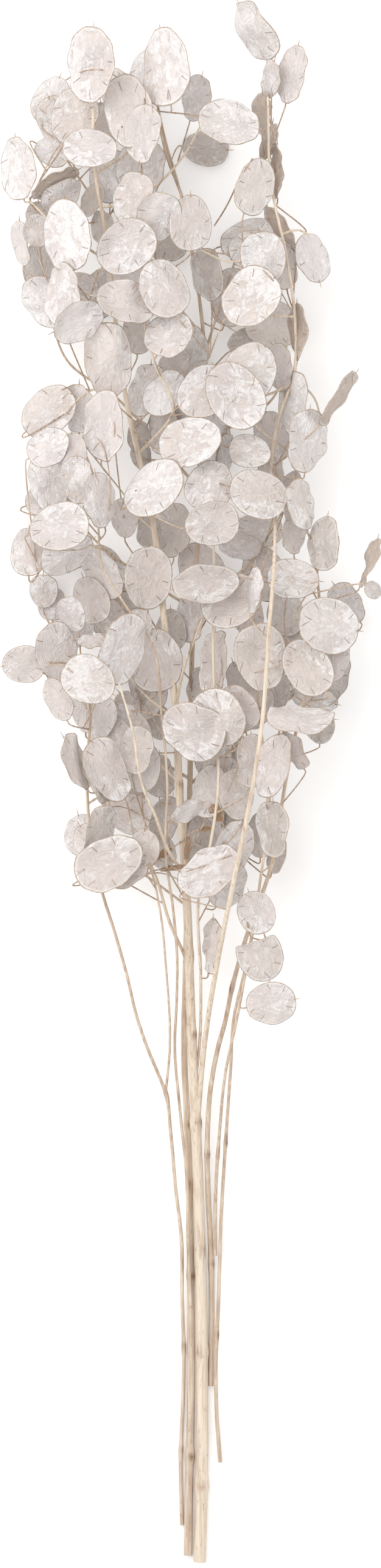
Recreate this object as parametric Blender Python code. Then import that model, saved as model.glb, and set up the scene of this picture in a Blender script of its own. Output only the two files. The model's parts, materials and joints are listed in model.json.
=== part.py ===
# A dried bunch of honesty stems with silvery seed pods, lying on its back.
# +Y runs from the cut ends to the tips, +Z up, origin under the middle of the bunch.
import math
import random

import bmesh
import bpy
import numpy as np
from mathutils import Vector

# Driving sizes, in metres
bunchLength = 0.805
bladeThick = 0.0007
outlinePower = 0.88
stalkRadius = 0.00055
stackGap = 0.0007  # air between two pods where they lie over each other
lowPods = 6  # these lie on the surface, the others at their layer's height or above
podRatio = 0.77  # true width of a pod over its length

# The photograph's own size in pixels: places below are read from it by eye
photoWide, photoHigh = 626, 2576
pixel = bunchLength / photoHigh

podSides = 9
hiddenSides = 8
steepest = {"back": math.radians(42), "mid": math.radians(66), "front": math.radians(66)}
backPods = 13  # pods that the photograph hides, behind those that it shows
layerHeight = {"back": 0.0, "mid": 0.027, "front": 0.053}
layerSpread = {"back": 0.009, "mid": 0.009, "front": 0.010}

# Each branch: node, branch it grows from, start and end diameter in mm, sides,
# heights in mm spread evenly along it, and its route in the photograph
branches = {
    "main": ("main_stem", None, 6.6, 1.6, 8,
             (3.4, 3.6, 5, 14, 31, 37, 38, 39, 42, 50, 56),
             ((328, 2574), (332, 2430), (331, 2150), (322, 1848), (315, 1700), (306, 1462), (294, 1290),
              (288, 1153), (272, 1040), (262, 940), (250, 850), (228, 750), (208, 660), (190, 530),
              (174, 383), (156, 279), (153, 176))),
    "mainRight": ("main_stem", "main", 2.8, 1.2, 6,
                  (14, 22, 36, 56, 78, 88, 89, 89, 88, 84, 62, 44, 42, 46, 52, 54, 55, 56),
                  ((324, 1850), (337, 1709), (361, 1561), (383, 1450), (415, 1290), (431, 1179), (441, 1040),
                   (450, 924), (452, 860), (445, 770), (459, 685), (483, 614), (485, 526), (470, 420),
                   (445, 300), (440, 160))),
    "mainThin": ("main_stem", "main", 1.6, 1.2, 6, (18, 27, 40, 52, 55, 55, 55, 55),
                 ((320, 1790), (329, 1700), (330, 1609), (327, 1472), (345, 1390), (358, 1300), (352, 1140),
                  (350, 1045), (352, 950), (350, 870), (345, 790))),
    "mainLow": ("main_stem", "main", 2.0, 1.2, 6, (27, 36, 38),
                ((308, 1580), (279, 1517), (255, 1438), (232, 1390))),
    "mainLeft": ("main_stem", "main", 1.8, 1.0, 6, (33, 68, 80, 82),
                 ((304, 1440), (275, 1394), (256, 1342), (234, 1290), (218, 1199), (196, 1123))),
    "mainTwigA": ("main_stem", "main", 1.4, 1.0, 4, (37, 40, 44), ((294, 1285), (255, 1247), (216, 1167))),
    "mainTwigB": ("main_stem", "main", 1.4, 1.0, 4, (38, 42, 46), ((288, 1180), (244, 1147), (212, 1110))),
    "mainTwigC": ("main_stem", "main", 1.6, 1.0, 4, (37, 44, 53, 54),
                  ((289, 1160), (303, 1095), (319, 1052), (339, 1000))),
    "mainTwigD": ("main_stem", "main", 1.4, 1.0, 4, (38, 44, 48),
                  ((253, 870), (224, 845), (206, 815))),
    "mainTwigE": ("main_stem", "main", 1.6, 1.0, 4, (38, 48, 56, 57, 57),
                  ((226, 745), (255, 717), (283, 680), (255, 598), (240, 550), (239, 470))),
    "mainTwigF": ("main_stem", "main", 1.4, 1.0, 4, (43, 44, 44), ((190, 540), (140, 520), (92, 498))),
    "mainTwigG": ("main_stem", "main", 1.4, 1.0, 4, (47, 48, 46, 44),
                  ((178, 430), (140, 405), (95, 375), (50, 330))),
    "mainTwigH": ("main_stem", "main", 1.6, 1.0, 4, (52, 50, 46, 44, 44),
                  ((166, 340), (215, 335), (262, 300), (305, 250), (330, 205))),
    "mainTwigI": ("main_stem", "main", 1.4, 1.0, 4, (53, 50, 46), ((157, 285), (210, 250), (245, 190))),
    "mainTwigJ": ("main_stem", "main", 1.4, 1.0, 4, (41, 42, 42), ((204, 640), (150, 640), (105, 680))),
    "rightTwigA": ("main_stem", "mainRight", 1.2, 1.0, 4, (40, 40, 40),
                   ((480, 620), (515, 650), (530, 700))),
    "rightTwigB": ("main_stem", "mainRight", 1.4, 1.0, 4, (40, 46, 50, 50),
                   ((476, 632), (430, 650), (380, 640), (335, 610))),
    "rightTwigC": ("main_stem", "mainRight", 1.2, 1.0, 4, (47, 52, 54), ((486, 520), (440, 520), (400, 530))),
    "rightTwigD": ("main_stem", "mainRight", 1.2, 1.0, 4, (52, 50, 46, 44),
                   ((464, 395), (420, 420), (380, 430), (330, 410))),
    "rightTwigE": ("main_stem", "mainRight", 1.2, 1.0, 4, (52, 50, 50), ((462, 385), (492, 378), (508, 386))),
    "second": ("second_stem", None, 4.4, 1.4, 6, (2.3, 2.4, 2.7, 5, 12, 13, 13, 12, 12, 12),
               ((309, 2563), (311, 2430), (313, 2350), (313.5, 2150), (312, 2000), (308, 1850), (303, 1750),
                (305, 1600), (310, 1400), (313, 1230), (316, 1060), (325, 900), (335, 800), (340, 700),
                (333, 534), (319, 430), (299, 319), (275, 255), (257, 180))),
    "backA": ("second_stem", "second", 1.4, 1.0, 4, (12, 13, 13), ((336, 580), (358, 510), (395, 400))),
    "backB": ("second_stem", "second", 1.6, 1.0, 4, (12, 13, 13, 13),
              ((340, 710), (400, 690), (450, 650), (475, 550))),
    "backC": ("second_stem", "second", 1.6, 1.0, 4, (13, 13, 13, 13),
              ((320, 980), (380, 950), (430, 900), (455, 800), (450, 740))),
    "backD": ("second_stem", "second", 1.6, 1.0, 4, (13, 13, 13, 13),
              ((312, 1290), (370, 1230), (430, 1180), (500, 1130), (540, 1090))),
    "backE": ("second_stem", "second", 1.6, 1.0, 4, (13, 13, 13, 13),
              ((312, 1280), (250, 1240), (190, 1190), (140, 1140), (95, 1050))),
    "backF": ("second_stem", "second", 1.6, 1.0, 4, (13, 13, 13, 13),
              ((318, 1000), (240, 950), (160, 890), (95, 810))),
    "backG": ("second_stem", "second", 1.6, 1.0, 4, (12, 13, 13, 13),
              ((334, 810), (265, 730), (190, 650), (110, 590), (75, 480))),
    "backH": ("second_stem", "second", 1.6, 1.0, 4, (12, 13, 13, 13),
              ((334, 550), (260, 460), (190, 370), (130, 290), (85, 220))),
    "backI": ("second_stem", "second", 1.4, 1.0, 4, (12, 13, 13), ((308, 1490), (240, 1440), (160, 1390))),
    "backJ": ("second_stem", "second", 1.4, 1.0, 4, (12, 13, 13), ((309, 1440), (350, 1390), (385, 1300))),
    "left": ("left_stem", None, 2.1, 1.4, 6, (1.2, 1.4, 3, 9, 20, 36, 52, 54, 54, 54),
             ((299, 2513), (297, 2390), (300.5, 2310), (302, 2238), (299, 2135), (298, 2039), (289, 1960),
              (280, 1860), (273, 1800), (259, 1764), (241, 1720), (224, 1669), (208, 1601), (188, 1530),
              (168, 1466), (150, 1380), (143, 1290), (146, 1219), (148, 1159), (125, 1090), (98, 1030))),
    "leftTwigA": ("left_stem", "left", 1.4, 1.0, 6, (23, 34, 46, 54, 54),
                  ((272, 1800), (279, 1720), (273, 1593), (262, 1490), (248, 1430), (222, 1385))),
    "leftTwigB": ("left_stem", "left", 1.2, 1.0, 4, (54, 55, 55), ((145, 1320), (175, 1300), (200, 1275))),
    "leftTwigC": ("left_stem", "left", 1.2, 1.0, 4, (54, 54, 54), ((148, 1165), (110, 1130), (62, 1100))),
    "leftInner": ("left_inner_stem", None, 1.7, 1.0, 6, (6, 11, 18, 25, 38, 50, 52, 53, 53, 54),
                  ((313, 2150), (309, 2050), (307, 1943), (295, 1820), (287, 1720), (290, 1649), (291, 1577),
                   (285, 1500), (272, 1400), (275, 1290), (266, 1180), (250, 1060), (200, 985), (165, 920),
                   (162, 870), (153, 780), (140, 745), (122, 712))),
    "leftInnerTwig": ("left_inner_stem", "leftInner", 1.2, 1.0, 4, (54, 55, 55),
                      ((164, 900), (120, 895), (80, 920))),
    "right": ("right_stem", None, 2.1, 1.2, 6, (1.2, 4.8, 5.5, 10, 20, 34, 50, 54, 54, 54),
              ((362, 2409), (356, 2322), (355, 2240), (359, 2150), (364, 2000), (371, 1880), (379, 1760),
               (385, 1669), (399, 1609), (410, 1560), (419, 1510), (427, 1450), (439, 1370), (443, 1322),
               (434, 1240), (424, 1150), (422, 1080))),
    "rightTwigF": ("right_stem", "right", 1.2, 1.0, 4, (54, 55, 55), ((436, 1250), (460, 1200), (475, 1165))),
    "rightOuter": ("right_outer_stem", None, 3.2, 1.2, 6, (1.8, 2.2, 6, 16, 28, 40, 46, 47, 48, 50, 52),
                   ((346, 2283), (348, 2150), (346, 2039), (342, 1960), (341, 1868), (347, 1784), (359, 1720),
                    (370, 1680), (382, 1621), (393, 1580), (408, 1530), (432, 1466), (452, 1400),
                    (462, 1330), (480, 1230), (500, 1150), (516, 1080), (525, 1020), (520, 940), (508, 880),
                    (470, 830))),
    "rightShort": ("right_short_stem", None, 2.0, 1.2, 6, (5.8, 12, 24, 42, 56, 60),
                   ((354, 2067), (354, 1980), (361, 1860), (371, 1760), (388, 1680), (403, 1600),
                    (412, 1540))),
}

# The pods that show, from the back to the front of each layer:
# middle x and y, length, width, and which way the tip points, clockwise from up
pods = {
    ("second_stem", "back"): (
        (243, 118, 90, 60, 10), (83, 158, 82, 62, 20), (95, 200, 95, 65, -20), (195, 150, 90, 60, -20),
        (338, 237, 76, 60, 95), (180, 285, 90, 70, 0), (225, 270, 95, 70, 0), (275, 385, 80, 70, 0),
        (412, 392, 100, 70, 80), (405, 558, 60, 45, 60), (385, 485, 98, 80, 20), (450, 530, 95, 80, 110),
        (65, 430, 85, 50, 10), (268, 705, 80, 50, 0), (310, 575, 90, 65, 0), (78, 815, 80, 60, 70),
        (78, 790, 100, 70, 0), (175, 930, 80, 55, -30), (330, 935, 95, 75, -30), (372, 740, 60, 30, 0),
        (445, 717, 90, 60, -10), (425, 868, 80, 60, 90), (437, 942, 95, 70, -30), (140, 1168, 70, 45, 0),
        (545, 1112, 100, 60, 20), (515, 1150, 80, 40, 100), (572, 990, 75, 50, -35),
        (330, 1375, 70, 50, 0), (85, 990, 55, 48, 0), (70, 970, 55, 48, 0), (175, 1012, 80, 60, -30),
        (182, 1220, 45, 30, 0), (133, 1371, 68, 60, -10)),
    ("main_stem", "mid"): (
        (85, 248, 60, 48, 120), (32, 275, 104, 60, -8), (90, 300, 88, 30, 60), (100, 320, 75, 45, 50),
        (35, 398, 75, 28, -5), (60, 378, 55, 45, 0), (120, 190, 95, 75, 20), (322, 160, 76, 48, 15),
        (250, 278, 88, 45, 5), (205, 445, 95, 65, 30), (417, 50, 108, 52, -28), (480, 121, 98, 44, 12),
        (445, 128, 62, 30, 12), (431, 185, 70, 30, 0), (440, 230, 62, 26, 15), (456, 280, 92, 16, 0),
        (458, 372, 85, 20, -35), (415, 408, 80, 65, 80), (515, 422, 84, 50, 165), (340, 450, 88, 54, -10),
        (465, 435, 80, 45, -10), (488, 545, 95, 26, 0), (482, 662, 105, 50, 5), (460, 603, 80, 42, -10),
        (505, 725, 105, 66, 5), (555, 655, 105, 24, 35), (75, 495, 95, 65, -35), (133, 468, 62, 45, 100),
        (240, 640, 90, 55, 10), (130, 670, 80, 55, 0), (80, 676, 100, 75, 50), (270, 645, 85, 60, 40),
        (205, 850, 65, 45, 0), (170, 940, 95, 55, -25), (243, 949, 105, 80, 0), (228, 1030, 60, 45, 0),
        (257, 1085, 105, 85, 0), (354, 1088, 105, 48, 0), (218, 1194, 88, 50, -35),
        (232, 1260, 85, 65, 0), (210, 1336, 80, 66, 110), (308, 1332, 60, 30, 60), (380, 1333, 50, 34, 0),
        (382, 1392, 95, 64, 20), (346, 1555, 92, 26, 5), (372, 1280, 75, 60, 0), (190, 1215, 85, 60, -30),
        (225, 1232, 80, 55, 10), (345, 1300, 90, 60, 10), (388, 1305, 85, 60, -15),
        (150, 985, 80, 60, -20), (168, 1180, 75, 50, 20), (420, 1165, 80, 55, 30),
        (150, 1390, 80, 60, -30), (375, 1455, 80, 55, 30)),
    ("main_stem", "front"): (
        (272, 112, 130, 82, -8), (376, 204, 104, 72, 102), (213, 185, 120, 80, -15),
        (151, 109, 126, 78, 3), (233, 222, 98, 62, 185), (148, 246, 90, 65, 95), (218, 328, 90, 62, 20),
        (112, 387, 120, 78, -5), (260, 358, 80, 72, 10), (313, 368, 92, 70, 0), (208, 407, 105, 85, 50),
        (417, 308, 96, 62, 20), (433, 425, 90, 75, -10), (412, 490, 104, 90, 50), (335, 646, 96, 82, 60),
        (412, 611, 100, 88, 30), (386, 651, 118, 90, -35), (100, 483, 102, 58, -5),
        (128, 530, 90, 60, 245), (207, 498, 98, 70, 100), (278, 551, 80, 74, 30),
        (270, 475, 100, 80, -25), (178, 593, 122, 80, -8), (344, 799, 85, 78, 20), (348, 861, 90, 72, 80),
        (313, 728, 105, 82, 80), (252, 802, 112, 78, 55), (380, 988, 105, 85, 60),
        (338, 960, 112, 70, 260), (390, 1165, 80, 68, -20), (358, 1180, 100, 85, -30),
        (317, 1201, 110, 90, 115), (343, 1430, 110, 72, 50), (410, 742, 70, 55, 100),
        (415, 970, 80, 25, 5), (175, 700, 116, 68, 8), (424, 813, 98, 80, 105), (412, 1250, 90, 45, 0)),
    ("left_inner_stem", "front"): (
        (118, 745, 70, 50, 0), (127, 790, 78, 52, 0), (80, 735, 75, 60, 60), (165, 823, 90, 52, -10),
        (48, 907, 80, 62, 0), (110, 910, 95, 60, 60), (98, 867, 100, 78, 75)),
    ("left_stem", "front"): (
        (38, 1092, 70, 62, 265), (118, 1010, 60, 42, -20), (93, 1072, 100, 68, -15),
        (150, 1052, 45, 25, 90), (95, 1150, 75, 42, -25), (202, 1066, 120, 72, 25),
        (146, 1118, 92, 78, 120), (124, 1253, 95, 40, -25), (158, 1280, 80, 30, -30),
        (178, 1265, 110, 66, -30), (165, 1362, 85, 45, 20), (238, 1392, 60, 50, 0),
        (208, 1436, 75, 40, 65), (180, 1418, 120, 82, 60)),
    ("right_stem", "front"): (
        (428, 1078, 112, 86, -10), (482, 1233, 70, 32, -30), (448, 1258, 108, 58, 10),
        (448, 1363, 92, 52, 0), (525, 1192, 60, 50, 0), (493, 1177, 110, 58, 95)),
    ("right_outer_stem", "front"): (
        (545, 1078, 85, 58, 15), (505, 1097, 100, 75, -35), (540, 1028, 100, 92, 100),
        (605, 925, 85, 18, 20), (612, 970, 30, 28, 120), (530, 893, 90, 52, 10), (483, 866, 90, 40, 0),
        (494, 830, 85, 45, -15), (481, 952, 86, 66, 95)),
    ("right_short_stem", "front"): (
        (421, 1499, 72, 62, -20), (426, 1567, 92, 76, 160), (445, 1648, 82, 70, 80)),
}

# Pods that aren't plain ovals
oddForms = {(233, 222): "teardrop", (338, 960): "teardrop", (493, 1177): "folded", (426, 1567): "torn"}


# Place in metres of a pixel of the photograph, at a height in metres
def place(x, y, height=0.0):
    return np.array([(x - photoWide / 2) * pixel, (photoHigh / 2 - y) * pixel, height])


# A smooth run of points through a branch's route, spaced about step apart
def smoothRoute(route, heights, step):
    flat = np.array([place(x, y) for x, y in route])
    steps = np.r_[0.0, np.cumsum(np.linalg.norm(np.diff(flat, axis=0), axis=1))]
    flat[:, 2] = np.interp(steps / steps[-1], np.linspace(0, 1, len(heights)), heights) / 1000
    count = max(3, round(steps[-1] / step) + 1)
    wanted = np.linspace(0, steps[-1], count)
    slopes = np.gradient(flat, steps, axis=0)
    points = []
    for s in wanted:
        i = min(int(np.searchsorted(steps, s, "right")) - 1, len(steps) - 2)
        span = steps[i + 1] - steps[i]
        t = (s - steps[i]) / span
        points.append((1 + 2 * t) * (1 - t) ** 2 * flat[i] + t * (1 - t) ** 2 * span * slopes[i]
                      + t * t * (3 - 2 * t) * flat[i + 1] + t * t * (t - 1) * span * slopes[i + 1])
    return np.array(points)


# The nearest place to a point, seen from above, on a run of points
def nearestOn(run, point):
    best = None
    for a, b in zip(run, run[1:]):
        span = b - a
        t = np.clip((point - a)[:2] @ span[:2] / (span[:2] @ span[:2]), 0.02, 0.98)
        off = np.linalg.norm((a + t * span - point)[:2])
        if best is None or off < best[0]:
            best = (off, a + t * span)
    return best[1]


# A pod's size, turn and lie: a narrow one is seen from its side, a short one end on
def podLie(entry, layer, slack, signs):
    x, y, long, wide, turn = entry
    roll, pitch = slack
    if wide < podRatio * long:
        roll = min(math.acos(wide / (podRatio * long)), steepest[layer])
    if wide > podRatio * 1.1 * long:
        pitch = math.acos(long / (wide / podRatio / 1.1))
    roll *= signs[0]
    pitch *= signs[1]
    turn = math.radians(turn)
    along = np.array([math.sin(turn) * math.cos(pitch), math.cos(turn) * math.cos(pitch), math.sin(pitch)])
    flatAcross = np.array([math.cos(turn), -math.sin(turn), 0.0])
    normal = np.cross(flatAcross, along)
    across = flatAcross * math.cos(roll) + normal * math.sin(roll)
    return {"middle": place(x, y), "along": along * long * pixel / 2 / math.cos(pitch),
            "across": across * wide * pixel / 2 / math.cos(roll)}


# Points of a pod's outline for a circle of angles: base at -1, tip at 1, often a little egg-shaped
def podOutline(angles, pod):
    u, v = np.sign(np.sin(angles)) * np.abs(np.sin(angles)) ** outlinePower, -np.cos(angles)
    x, y = pod["entry"][:2]
    form = oddForms.get((x, y))
    if form == "teardrop":
        return u * (1 + 0.1 * v - 0.42 * np.clip(v, 0, 1) ** 1.5), v
    if form == "folded":
        return np.where(u < 0, -0.5 * np.abs(u) ** 0.3, u), v
    if form == "torn":
        return u, np.clip(v, -0.5, 1)
    return u * (1 + 0.13 * math.sin(x + 0.7 * y) * v), v


# How high pod a has to be lifted to lie clear over pod b
def liftOver(a, b):
    reach = np.linalg.norm(a["along"][:2]) + np.linalg.norm(b["along"][:2])
    if np.linalg.norm(a["middle"][:2] - b["middle"][:2]) > reach * 1.05:
        return -1.0
    best = -1.0
    for one, other, sign in ((a, b, 1), (b, a, -1)):
        u, v = podSamples
        spots = u[:, None] * one["across"] + v[:, None] * one["along"]
        offset = spots[:, :2] + one["middle"][:2] - other["middle"][:2]
        frame = np.column_stack([other["across"][:2], other["along"][:2]])
        inside = np.linalg.solve(frame, offset.T)
        held = np.sum(inside**2, axis=0) < 1.25
        if held.any():
            rise = inside[0] * other["across"][2] + inside[1] * other["along"][2] - spots[:, 2]
            best = max(best, float(np.max(sign * rise[held])))
    if best <= -1.0:
        return -1.0
    thick = bladeThick / 2 * (1 / uprightness(a) + 1 / uprightness(b))
    return b["middle"][2] + best + thick + stackGap


def uprightness(pod):
    normal = np.cross(pod["across"], pod["along"])
    return abs(normal[2]) / np.linalg.norm(normal)


# How far a pod reaches below its middle
def halfHeight(pod):
    u, v = podOutline(outlineAngles(pod), pod)
    return bladeThick / 2 * uprightness(pod) - float(np.min(u * pod["across"][2] + v * pod["along"][2]))


# The corners of a pod's outline as angles, with a narrow side at its base for the stalk
def outlineAngles(pod):
    neck = math.asin((stalkRadius / np.linalg.norm(pod["across"])) ** (1 / outlinePower))
    return np.linspace(neck, 2 * math.pi - neck, pod["sides"])


# Sample places over a pod, in its own measures
ringAngles = np.linspace(0, 2 * math.pi, 13)[:-1]
podSamples = np.concatenate([np.array([np.sin(ringAngles), np.cos(ringAngles)]) * r
                             for r in (0.0, 0.35, 0.7, 1.0)], axis=1)


# True where the photograph shows a pod at this place
def shown(spot, placed):
    for pod in placed:
        offset = spot[:2] - pod["middle"][:2]
        frame = np.column_stack([pod["across"][:2], pod["along"][:2]])
        if np.sum(np.linalg.solve(frame, offset) ** 2) < 1.0:
            return True
    return False


# Pods that the photograph hides, grown along the back branches under those that show
def hiddenPods(placed, runs, draw):
    found = []
    names = [n for n in branches if n.startswith("back")]
    tries = 0
    while len(found) < backPods and tries < 4000:
        tries += 1
        name = names[tries % len(names)]
        run = runs[name]
        k = draw.randrange(len(run) - 1)
        heading = run[k + 1] - run[k]
        turn = math.degrees(math.atan2(heading[0], heading[1])) + draw.choice((-1, 1)) * draw.uniform(25, 110)
        long = draw.uniform(78, 108)
        wide = long * draw.uniform(0.55, 0.8)
        out = long / 2 + draw.uniform(22, 48)
        x = run[k][0] / pixel + photoWide / 2 + out * math.sin(math.radians(turn))
        y = photoHigh / 2 - run[k][1] / pixel - out * math.cos(math.radians(turn))
        pod = podLie((x, y, long, wide, turn), "back", (0.1, 0.1), (1, 1))
        u, v = podOutline(ringAngles, pod | {"entry": (x, y)})
        rim = [pod["middle"] + a * pod["across"] + b * pod["along"] for a, b in zip(u, v)]
        close = [p for p in found if np.linalg.norm(p["middle"][:2] - pod["middle"][:2]) < 0.011]
        if not close and all(shown(spot, placed) for spot in rim):
            pod.update(node="second_stem", layer="back", sides=hiddenSides, entry=(x, y, long, wide, turn))
            found.append(pod)
    return found


# Every pod, tilted the way that lets it lie lowest, clear of those already under it
def layOut(runs):
    draw = random.Random(7)
    placed = []
    for (node, layer), entries in pods.items():
        for entry in entries:
            pod = podLie(entry, layer, (0.1, 0.1), (1, 1))
            pod.update(node=node, layer=layer, sides=podSides, entry=entry)
            placed.append(pod)
    order = hiddenPods(placed, runs, draw) + placed
    for i, pod in enumerate(order):
        layer = pod["layer"]
        spare = draw.uniform(0, layerSpread[layer])
        slack = math.radians(draw.uniform(4, 26)), math.radians(draw.uniform(2, 20))
        lies = []
        for signs in ((1, 1), (1, -1), (-1, 1), (-1, -1)):
            lie = podLie(pod["entry"], layer, slack, signs) | {"sides": pod["sides"], "entry": pod["entry"]}
            floor = 0.0 if i < lowPods else layerHeight[layer] + spare
            lifts = [liftOver(lie, under) for under in order[:i]]
            lie["middle"][2] = max([floor + halfHeight(lie)] + lifts)
            lies.append(lie)
        pod.update(min(lies, key=lambda lie: lie["middle"][2]))
    return order


# Where each pod's stalk joins its stem: the nearest wood behind its base, the nearest pods first
def stalks(order, runs):
    wood = {}
    for name, run in runs.items():
        wood.setdefault(branches[name][0], []).extend(run[1:])
    queue = []
    for pod in order:
        base = pod["middle"] - pod["along"]
        queue.append((float(np.min(np.linalg.norm(np.array(wood[pod["node"]]) - base, axis=1))), base, pod))
    queue.sort(key=lambda item: item[0])
    for _, base, pod in queue:
        back = -pod["along"] / np.linalg.norm(pod["along"])
        way = np.array(wood[pod["node"]]) - base
        far = np.linalg.norm(way, axis=1) + 1e-6
        turned = np.degrees(np.arccos(np.clip(way @ back / far, -1, 1)))
        cost = far + 0.00035 * np.maximum(turned - 40, 0) + np.where(far < 0.004, 0.02, 0)
        best = int(np.argmin(cost))
        bend = base + back * min(0.003, far[best] * 0.4)
        pod["stalk"] = [base, bend, base + way[best]]
        if turned[best] > 75:
            aside = way[best] - back * (way[best] @ back)
            pod["stalk"].insert(2, bend + aside / np.linalg.norm(aside) * min(0.0025, far[best] * 0.4))
        wood[pod["node"]].append((pod["stalk"][-2] + 2 * pod["stalk"][-1]) / 3)


def clearScene():
    for ob in list(bpy.data.objects):
        bpy.data.objects.remove(ob)


def collection(name):
    made = bpy.data.collections.new(name)
    bpy.context.scene.collection.children.link(made)
    return made


def material(name, colour, roughness):
    made = bpy.data.materials.new(name)
    made.use_nodes = True
    shader = made.node_tree.nodes["Principled BSDF"]
    shader.inputs["Base Color"].default_value = (*colour, 1)
    shader.inputs["Roughness"].default_value = roughness
    shader.inputs["Metallic"].default_value = 0.0
    return made


# A closed tube as a mesh object in the group, through points with a radius at each
def tube(name, points, radii, sides, group):
    curve = bpy.data.curves.new(name, "CURVE")
    curve.dimensions = "3D"
    curve.bevel_depth = 1.0
    curve.bevel_resolution = (sides - 4) // 2
    curve.use_fill_caps = True
    spline = curve.splines.new("POLY")
    spline.points.add(len(points) - 1)
    for spot, point, radius in zip(spline.points, points, radii):
        spot.co = (*point, 1)
        spot.radius = radius
    rough = bpy.data.objects.new(name + "Curve", curve)
    group.objects.link(rough)
    bpy.context.view_layer.update()
    mesh = bpy.data.meshes.new_from_object(rough.evaluated_get(bpy.context.evaluated_depsgraph_get()))
    bpy.data.objects.remove(rough)
    work = bmesh.new()
    work.from_mesh(mesh)
    bmesh.ops.remove_doubles(work, verts=work.verts, dist=1e-6)
    work.to_mesh(mesh)
    work.free()
    made = bpy.data.objects.new(name, mesh)
    group.objects.link(made)
    return made


# A pod's blade with its stalk: a thin disc drawn into the pod's outline, and its base face drawn out
def blade(pod, group):
    work = bmesh.new()
    sides = pod["sides"]
    bmesh.ops.create_cone(work, cap_ends=True, segments=sides, radius1=1, radius2=1, depth=1)
    normal = np.cross(pod["across"], pod["along"])
    normal = normal / np.linalg.norm(normal) * bladeThick
    angles = outlineAngles(pod)
    baseVerts = []
    for vert in work.verts:
        turned = math.atan2(vert.co.y, vert.co.x) % (2 * math.pi)
        rank = int(turned / (2 * math.pi / sides) + 0.01) % sides
        if rank in (0, sides - 1):
            baseVerts.append(vert)
        u, v = podOutline(angles[rank], pod)
        vert.co = Vector(pod["middle"] + u * pod["across"] + v * pod["along"] + vert.co.z * normal)
    face = next(f for f in work.faces if len(f.verts) == 4 and all(v in baseVerts for v in f.verts))
    frame = np.column_stack([pod["across"] / np.linalg.norm(pod["across"]), normal / bladeThick])
    ways = [Vector(b - a).normalized() for a, b in zip(pod["stalk"], pod["stalk"][1:])]
    heading = Vector(-pod["along"]).normalized()
    for k, spot in enumerate(pod["stalk"][1:]):
        middle = np.mean([np.array(v.co) for v in face.verts], axis=0)
        corners = {v: np.sign((np.array(v.co) - middle) @ frame) for v in face.verts}
        drawn = bmesh.ops.extrude_discrete_faces(work, faces=[face])
        face = drawn["faces"][0]
        turned = (ways[k] + ways[min(k + 1, len(ways) - 1)]).normalized()
        frame = np.array(heading.rotation_difference(turned).to_matrix()) @ frame
        heading = turned
        for vert in face.verts:
            old = min(corners, key=lambda v: (v.co - vert.co).length)
            corners[vert] = corners[old]
        for vert in face.verts:
            a, b = corners[vert]
            vert.co = Vector(spot + frame @ np.array([a * stalkRadius, b * bladeThick / 2]))
    mesh = bpy.data.meshes.new("pod")
    work.to_mesh(mesh)
    work.free()
    group.objects.link(bpy.data.objects.new("pod", mesh))


# Keeps a mesh's largest piece: the rest are scraps, and the walls of sealed hollows
def keepLargest(mesh):
    work = bmesh.new()
    work.from_mesh(mesh)
    left = set(work.verts)
    pieces = []
    while left:
        piece = set()
        ahead = [left.pop()]
        while ahead:
            vert = ahead.pop()
            piece.add(vert)
            for edge in vert.link_edges:
                other = edge.other_vert(vert)
                if other in left:
                    left.remove(other)
                    ahead.append(other)
        pieces.append(piece)
    pieces.sort(key=len)
    for piece in pieces[:-1]:
        bmesh.ops.delete(work, geom=list(piece), context="VERTS")
    work.to_mesh(mesh)
    work.free()


# Joins a collection of closed bodies to the first in one Boolean union
def fuse(first, group):
    join = first.modifiers.new("Join", "BOOLEAN")
    join.operation = "UNION"
    join.operand_type = "COLLECTION"
    join.collection = group
    join.solver = "MANIFOLD"
    bpy.context.view_layer.update()
    joined = bpy.data.meshes.new_from_object(first.evaluated_get(bpy.context.evaluated_depsgraph_get()))
    first.modifiers.clear()
    first.data = joined
    keepLargest(joined)
    for ob in list(group.objects):
        bpy.data.objects.remove(ob)


def main():
    clearScene()
    parts = collection("honesty_bunch")
    spare = collection("pieces_to_join")
    spare.hide_render = True
    runs = {}
    for name, (node, parent, thick, thin, sides, heights, route) in branches.items():
        runs[name] = smoothRoute(route, heights, 0.028 if sides > 4 else 0.024)
        if parent:
            runs[name][0] = nearestOn(runs[parent], runs[name][0])
    order = layOut(runs)
    stalks(order, runs)
    colours = {"main_stem": (0.70, 0.63, 0.56), "second_stem": (0.62, 0.55, 0.48),
               "left_stem": (0.72, 0.66, 0.58), "left_inner_stem": (0.60, 0.50, 0.42),
               "right_stem": (0.68, 0.61, 0.52), "right_outer_stem": (0.74, 0.67, 0.60),
               "right_short_stem": (0.66, 0.57, 0.48)}
    for node in colours:
        trunk = None
        for name, run in runs.items():
            owner, parent, thick, thin, sides = branches[name][:5]
            if owner != node:
                continue
            radii = np.linspace(thick, thin, len(run)) / 2000
            made = tube(name, run, radii, sides, parts if parent is None else spare)
            trunk = made if parent is None else trunk
        for pod in order:
            if pod["node"] == node:
                blade(pod, spare)
        fuse(trunk, spare)
        trunk.name = node
        trunk.data.name = node
        trunk.data.materials.clear()
        trunk.data.materials.append(material(node, colours[node], 0.55))
    bpy.data.collections.remove(spare)


main()
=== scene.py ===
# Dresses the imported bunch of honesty: papery pods with their rims, fine stems and stalks.
import json
import math
import random

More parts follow.
